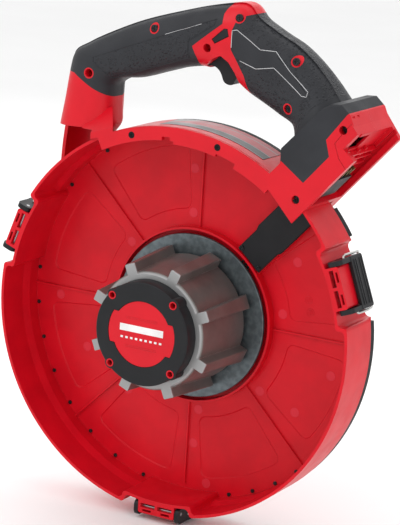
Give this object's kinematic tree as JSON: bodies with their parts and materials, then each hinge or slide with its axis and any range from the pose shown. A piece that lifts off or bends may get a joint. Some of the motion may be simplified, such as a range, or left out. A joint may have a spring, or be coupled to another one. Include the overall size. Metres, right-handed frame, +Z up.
{
  "type": "drain snake machine",
  "caption": "Powered base of a drum drain snake: round shroud pan, splined drive hub, carry handle with trigger, and battery foot.",
  "frame": {"origin": "on the drive axis, at the front face of the zinc drum seat", "axes": "+Z up towards the handle, +X right, -Y out of the pan's open side along the drive axis"},
  "size_m": [0.3464, 0.1131, 0.4543],
  "materials": {
    "shell_red": "fine texture",
    "pan_red": "fine texture",
    "grip_black": "textured",
    "bumper_black": "matte",
    "plastic_black": "fine texture",
    "latch_black": "satin",
    "zinc": "zinc plated",
    "hub_metal": "machined casting",
    "steel": "ground",
    "screw_black": "black oxide",
    "wire_zinc": "zinc plated",
    "motor_alu": "cast",
    "copper": "enamelled",
    "brass_contact": "plain",
    "board_green": "lacquered",
    "lead_black": "smooth",
    "label_dark": "printed",
    "bearing_steel": "polished",
    "gear_steel": "hardened",
    "fan_black": "plain"
  },
  "bodies": {
    "housing": {"rear_shroud": "pan_red", "rear_bumper": "bumper_black", "rear_cover": "pan_red", "rear_foot_ring": "bumper_black", "rear_cover_screws": "screw_black", "floor_screws": "screw_black", "cable_cover": "plastic_black", "cable_cover_screws": "screw_black", "side_label": "label_dark", "motor_housing": "motor_alu", "motor_screws": "steel", "motor_stator": "steel", "stator_windings": "copper", "gear_carrier": "motor_alu", "planet_pins": "steel", "rotor_bearings": "bearing_steel", "hub_bearings": "bearing_steel", "latch_pins": "steel", "handle_front_shell": "shell_red", "handle_rear_shell": "shell_red", "limb_grip_front": "grip_black", "limb_grip_rear": "grip_black", "trigger_grip_front": "grip_black", "trigger_grip_rear": "grip_black", "foot_boot_front": "grip_black", "foot_boot_rear": "grip_black", "handle_screws": "screw_black", "post_screw": "screw_black", "flange_screws": "screw_black", "switch_module": "plastic_black", "control_board": "board_green", "board_heatsink": "motor_alu", "battery_terminal_block": "plastic_black", "battery_contacts": "brass_contact", "motor_leads": "lead_black", "switch_leads": "lead_black"},
    "hub": {"drive_hub": "hub_metal", "hub_flange": "zinc", "ring_gear": "gear_steel", "end_cap_core": "shell_red", "end_cap": "plastic_black", "end_cap_screws": "screw_black", "hub_flange_screws": "steel"},
    "rotor": {"rotor_shaft": "steel", "rotor_core": "steel", "sun_pinion": "gear_steel", "cooling_fan": "fan_black"},
    "planet_1": {"planet_gear_1": "gear_steel"},
    "planet_2": {"planet_gear_2": "gear_steel"},
    "planet_3": {"planet_gear_3": "gear_steel"},
    "trigger": {"trigger": "latch_black"},
    "selector": {"direction_selector": "latch_black"},
    "latch_right": {"latch_lever_right": "latch_black"},
    "bail_right": {"latch_bail_right": "wire_zinc"},
    "latch_left": {"latch_lever_left": "latch_black"},
    "bail_left": {"latch_bail_left": "wire_zinc"},
    "latch_bottom": {"latch_lever_bottom": "latch_black"},
    "bail_bottom": {"latch_bail_bottom": "wire_zinc"}
  },
  "joints": [
    {"name": "hub_spin", "type": "hinge", "parent": "housing", "child": "hub", "pos_m": [0, 0, 0], "axis": [0, 1, 0], "continuous": true},
    {"name": "rotor_spin", "type": "hinge", "parent": "housing", "child": "rotor", "pos_m": [0, 0, 0], "axis": [0, 1, 0], "continuous": true},
    {"name": "planet_1_spin", "type": "hinge", "parent": "housing", "child": "planet_1", "pos_m": [0, -0.0525, 0.0225], "axis": [0, 1, 0], "continuous": true},
    {"name": "planet_2_spin", "type": "hinge", "parent": "housing", "child": "planet_2", "pos_m": [-0.01949, -0.0525, -0.01125], "axis": [0, 1, 0], "continuous": true},
    {"name": "planet_3_spin", "type": "hinge", "parent": "housing", "child": "planet_3", "pos_m": [0.01949, -0.0525, -0.01125], "axis": [0, 1, 0], "continuous": true},
    {"name": "trigger_pull", "type": "slide", "parent": "housing", "child": "trigger", "axis": [0.5, 0, 0.866], "range_m": [0, 0.006], "stiffness_N_per_m": 900, "springref_m": -0.001},
    {"name": "selector_push", "type": "slide", "parent": "housing", "child": "selector", "axis": [0, 1, 0], "range_m": [-0.0025, 0.0025]},
    {"name": "latch_right_lift", "type": "hinge", "parent": "housing", "child": "latch_right", "pos_m": [0.15671, -0.0335, 0.05859], "axis": [0.3502, 0, -0.9367], "range_deg": [0, 95]},
    {"name": "bail_right_swing", "type": "hinge", "parent": "latch_right", "child": "bail_right", "pos_m": [0.15942, -0.021, 0.0596], "axis": [0.3502, 0, -0.9367], "range_deg": [0, 100]},
    {"name": "latch_left_lift", "type": "hinge", "parent": "housing", "child": "latch_left", "pos_m": [-0.15671, -0.0335, 0.05859], "axis": [0.3502, 0, 0.9367], "range_deg": [0, 95]},
    {"name": "bail_left_swing", "type": "hinge", "parent": "latch_left", "child": "bail_left", "pos_m": [-0.15942, -0.021, 0.0596], "axis": [0.3502, 0, 0.9367], "range_deg": [0, 100]},
    {"name": "latch_bottom_lift", "type": "hinge", "parent": "housing", "child": "latch_bottom", "pos_m": [0, -0.0335, -0.1673], "axis": [-1, 0, 0], "range_deg": [0, 95]},
    {"name": "bail_bottom_swing", "type": "hinge", "parent": "latch_bottom", "child": "bail_bottom", "pos_m": [0, -0.021, -0.1702], "axis": [-1, 0, 0], "range_deg": [0, 100]}
  ],
  "couplings": [
    {"joint": "rotor_spin", "follows": "hub_spin", "ratio": -4},
    {"joint": "planet_1_spin", "follows": "hub_spin", "ratio": 2.6667},
    {"joint": "planet_2_spin", "follows": "hub_spin", "ratio": 2.6667},
    {"joint": "planet_3_spin", "follows": "hub_spin", "ratio": 2.6667}
  ]
}
